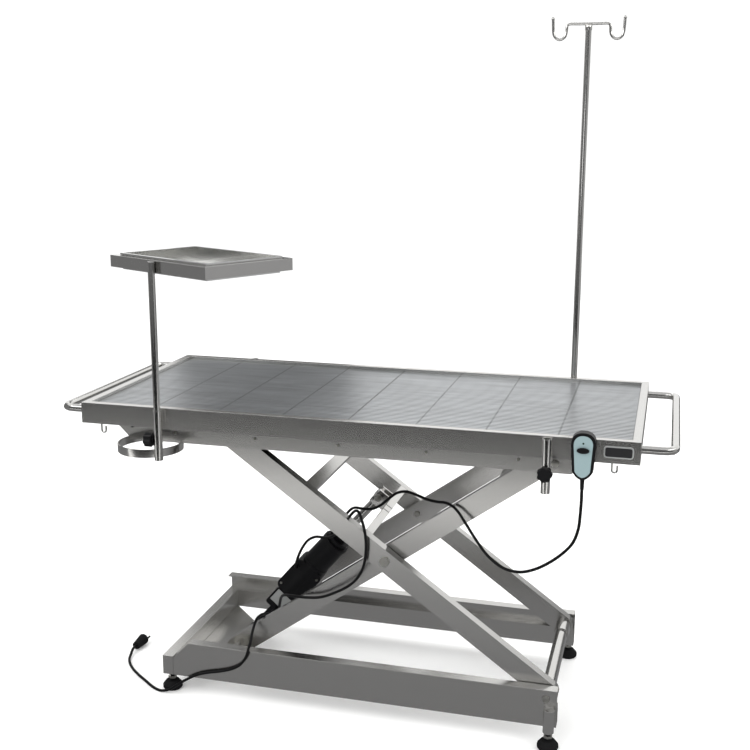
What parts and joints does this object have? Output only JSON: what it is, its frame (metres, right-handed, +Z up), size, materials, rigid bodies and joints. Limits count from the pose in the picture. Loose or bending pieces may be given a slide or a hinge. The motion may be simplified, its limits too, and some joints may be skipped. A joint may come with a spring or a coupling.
{
  "type": "veterinary exam table",
  "caption": "Electric veterinary exam table: grooved steel top on a scissor lift with linear actuator, drip pole, instrument tray, ring holder, handset and cords.",
  "frame": {"origin": "on the floor under the middle of the table with its accessories, cords left out", "axes": "+Z up, +X along the table to the handset's end, -Y to the front that the picture shows"},
  "size_m": [1.459, 0.7368, 1.6737],
  "materials": {
    "steel_brushed": "brushed stainless sheet and tube",
    "steel_polished": "polished stainless tube",
    "steel_grooved": "brushed panel with long grooves",
    "plastic_black": "black moulded plastic",
    "rubber_black": "black rubber",
    "plastic_pale": "pale grey-blue face",
    "plate_dark": "dark bare plate",
    "nylon_roller": "off-white nylon"
  },
  "bodies": {
    "base": {"base_rail_front": "steel_brushed", "base_rail_rear": "steel_brushed", "base_end_rail": "steel_brushed", "base_pan_plate": "steel_brushed", "actuator_foot_bracket": "steel_brushed", "power_cord": "rubber_black", "power_plug": "rubber_black"},
    "outer_arms": {"outer_arm_front": "steel_brushed", "outer_arm_rear": "steel_brushed", "lower_pivot_tube": "steel_polished", "push_tube": "steel_polished", "outer_arm_tie": "steel_brushed", "centre_pin_front": "steel_polished", "centre_pin_rear": "steel_polished"},
    "inner_arms": {"inner_arm_front": "steel_brushed", "inner_arm_rear": "steel_brushed", "upper_pivot_tube": "steel_brushed", "inner_arm_tie": "steel_brushed"},
    "platform": {"subframe_rail_front": "steel_brushed", "subframe_rail_rear": "steel_brushed", "subframe_cross_left": "steel_brushed", "subframe_cross_right": "steel_brushed", "panel_bearers": "steel_brushed", "table_frame": "steel_brushed", "handle_left": "steel_polished", "handle_right": "steel_polished", "socket_front_left": "steel_polished", "socket_front_right": "steel_polished", "socket_rear_left": "steel_polished", "socket_rear_right": "steel_polished", "ring_holder": "steel_polished", "nameplate": "plate_dark", "handset_cord": "rubber_black"},
    "actuator": {"actuator_gearbox": "plastic_black", "actuator_motor": "plastic_black", "actuator_outer_tube": "plastic_black", "motor_lead": "rubber_black"},
    "actuator_rod_body": {"actuator_rod": "steel_polished"},
    "handset": {"handset_shell": "plastic_black", "handset_face": "plastic_pale"},
    "rocker": {"handset_rocker": "plastic_black"},
    "iv_pole_body": {"iv_pole": "steel_polished"},
    "iv_hooks_body": {"iv_hooks": "steel_polished"},
    "tray_post_body": {"tray_post": "steel_polished"},
    "tray_frame_body": {"tray_frame": "steel_polished"},
    "tray_pan_body": {"tray_pan": "steel_polished"},
    "foot_front_left_body": {"foot_front_left": "rubber_black"},
    "knob_front_left_body": {"knob_front_left": "plastic_black"},
    "foot_front_right_body": {"foot_front_right": "rubber_black"},
    "knob_front_right_body": {"knob_front_right": "plastic_black"},
    "foot_rear_left_body": {"foot_rear_left": "rubber_black"},
    "knob_rear_left_body": {"knob_rear_left": "plastic_black"},
    "foot_rear_right_body": {"foot_rear_right": "rubber_black"},
    "knob_rear_right_body": {"knob_rear_right": "plastic_black"},
    "panel_left_body": {"panel_left": "steel_grooved"},
    "panel_right_body": {"panel_right": "steel_grooved"},
    "upper_roller_front_body": {"upper_roller_front": "nylon_roller"},
    "lower_roller_front_body": {"lower_roller_front": "nylon_roller"},
    "upper_roller_rear_body": {"upper_roller_rear": "nylon_roller"},
    "lower_roller_rear_body": {"lower_roller_rear": "nylon_roller"}
  },
  "joints": [
    {"name": "lift", "type": "hinge", "parent": "base", "child": "outer_arms", "pos_m": [0.467, 0.02405, 0.117], "axis": [0, 1, 0], "range_deg": [-8, 12.5], "deforming": ["handset_cord", "motor_lead", "power_cord"]},
    {"name": "scissor_centre", "type": "hinge", "parent": "outer_arms", "child": "inner_arms", "pos_m": [0.07225, 0.02405, 0.4005], "axis": [0, 1, 0], "range_deg": [-26, 17]},
    {"name": "platform_level", "type": "hinge", "parent": "inner_arms", "child": "platform", "pos_m": [0.467, 0.02405, 0.684], "axis": [0, 1, 0], "range_deg": [-9, 13.5]},
    {"name": "actuator_foot", "type": "hinge", "parent": "base", "child": "actuator", "pos_m": [-0.345, 0.02405, 0.085], "axis": [0, 1, 0], "range_deg": [-2, 2]},
    {"name": "actuator_stroke", "type": "slide", "parent": "actuator", "child": "actuator_rod_body", "axis": [0.6545, 0, 0.7561], "range_m": [-0.086, 0.132]},
    {"name": "upper_roller_front_spin", "type": "hinge", "parent": "outer_arms", "child": "upper_roller_front_body", "pos_m": [-0.32249, -0.19095, 0.684], "axis": [0, 1, 0], "continuous": true},
    {"name": "lower_roller_front_spin", "type": "hinge", "parent": "inner_arms", "child": "lower_roller_front_body", "pos_m": [-0.32249, -0.19095, 0.117], "axis": [0, 1, 0], "continuous": true},
    {"name": "upper_roller_rear_spin", "type": "hinge", "parent": "outer_arms", "child": "upper_roller_rear_body", "pos_m": [-0.32249, 0.23905, 0.684], "axis": [0, 1, 0], "continuous": true},
    {"name": "lower_roller_rear_spin", "type": "hinge", "parent": "inner_arms", "child": "lower_roller_rear_body", "pos_m": [-0.32249, 0.23905, 0.117], "axis": [0, 1, 0], "continuous": true},
    {"name": "foot_front_left_screw", "type": "slide", "parent": "base", "child": "foot_front_left_body", "axis": [0, 0, -1], "range_m": [0, 0.012]},
    {"name": "foot_front_right_screw", "type": "slide", "parent": "base", "child": "foot_front_right_body", "axis": [0, 0, -1], "range_m": [0, 0.012]},
    {"name": "foot_rear_left_screw", "type": "slide", "parent": "base", "child": "foot_rear_left_body", "axis": [0, 0, -1], "range_m": [0, 0.012]},
    {"name": "foot_rear_right_screw", "type": "slide", "parent": "base", "child": "foot_rear_right_body", "axis": [0, 0, -1], "range_m": [0, 0.012]},
    {"name": "panel_left_lift", "type": "slide", "parent": "platform", "child": "panel_left_body", "axis": [0, 0, 1], "range_m": [0, 0.06]},
    {"name": "panel_right_lift", "type": "slide", "parent": "platform", "child": "panel_right_body", "axis": [0, 0, 1], "range_m": [0, 0.06]},
    {"name": "knob_front_left_turn", "type": "hinge", "parent": "platform", "child": "knob_front_left_body", "pos_m": [-0.446, -0.28825, 0.69], "axis": [-1, 0, 0], "range_deg": [0, 360]},
    {"name": "knob_front_right_turn", "type": "hinge", "parent": "platform", "child": "knob_front_right_body", "pos_m": [0.456, -0.28825, 0.69], "axis": [0, -1, 0], "range_deg": [0, 360]},
    {"name": "knob_rear_left_turn", "type": "hinge", "parent": "platform", "child": "knob_rear_left_body", "pos_m": [-0.446, 0.33635, 0.69], "axis": [0, 1, 0], "range_deg": [0, 360]},
    {"name": "knob_rear_right_turn", "type": "hinge", "parent": "platform", "child": "knob_rear_right_body", "pos_m": [0.456, 0.33635, 0.69], "axis": [0, 1, 0], "range_deg": [0, 360]},
    {"name": "iv_pole_slide", "type": "slide", "parent": "platform", "child": "iv_pole_body", "axis": [0, 0, 1], "range_m": [0, 0.08]},
    {"name": "iv_hooks_swivel", "type": "hinge", "parent": "iv_pole_body", "child": "iv_hooks_body", "pos_m": [0.456, 0.33635, 1.655], "axis": [0, 0, 1], "continuous": true},
    {"name": "tray_post_slide", "type": "slide", "parent": "platform", "child": "tray_post_body", "axis": [0, 0, 1], "range_m": [0, 0.08]},
    {"name": "tray_swing", "type": "hinge", "parent": "tray_post_body", "child": "tray_frame_body", "pos_m": [-0.446, -0.28825, 1.1], "axis": [0, 0, 1], "range_deg": [-120, 120]},
    {"name": "tray_pan_lift", "type": "slide", "parent": "tray_frame_body", "child": "tray_pan_body", "axis": [0, 0, 1], "range_m": [0, 0.05]},
    {"name": "handset_lift", "type": "slide", "parent": "platform", "child": "handset", "axis": [0, 0, 1], "range_m": [0, 0.06], "deforming": ["handset_cord"]},
    {"name": "rocker_tip", "type": "hinge", "parent": "handset", "child": "rocker", "pos_m": [0.533, -0.30295, 0.746], "axis": [1, 0, 0], "range_deg": [-4, 4], "stiffness_Nm_per_rad": 0.3}
  ],
  "couplings": [
    {"joint": "scissor_centre", "follows": "lift", "ratio": -2},
    {"joint": "platform_level", "follows": "lift", "ratio": 1},
    {"joint": "actuator_foot", "follows": "lift", "ratio": -0.02},
    {"joint": "actuator_stroke", "follows": "lift", "m_per_rad": 0.586}
  ]
}
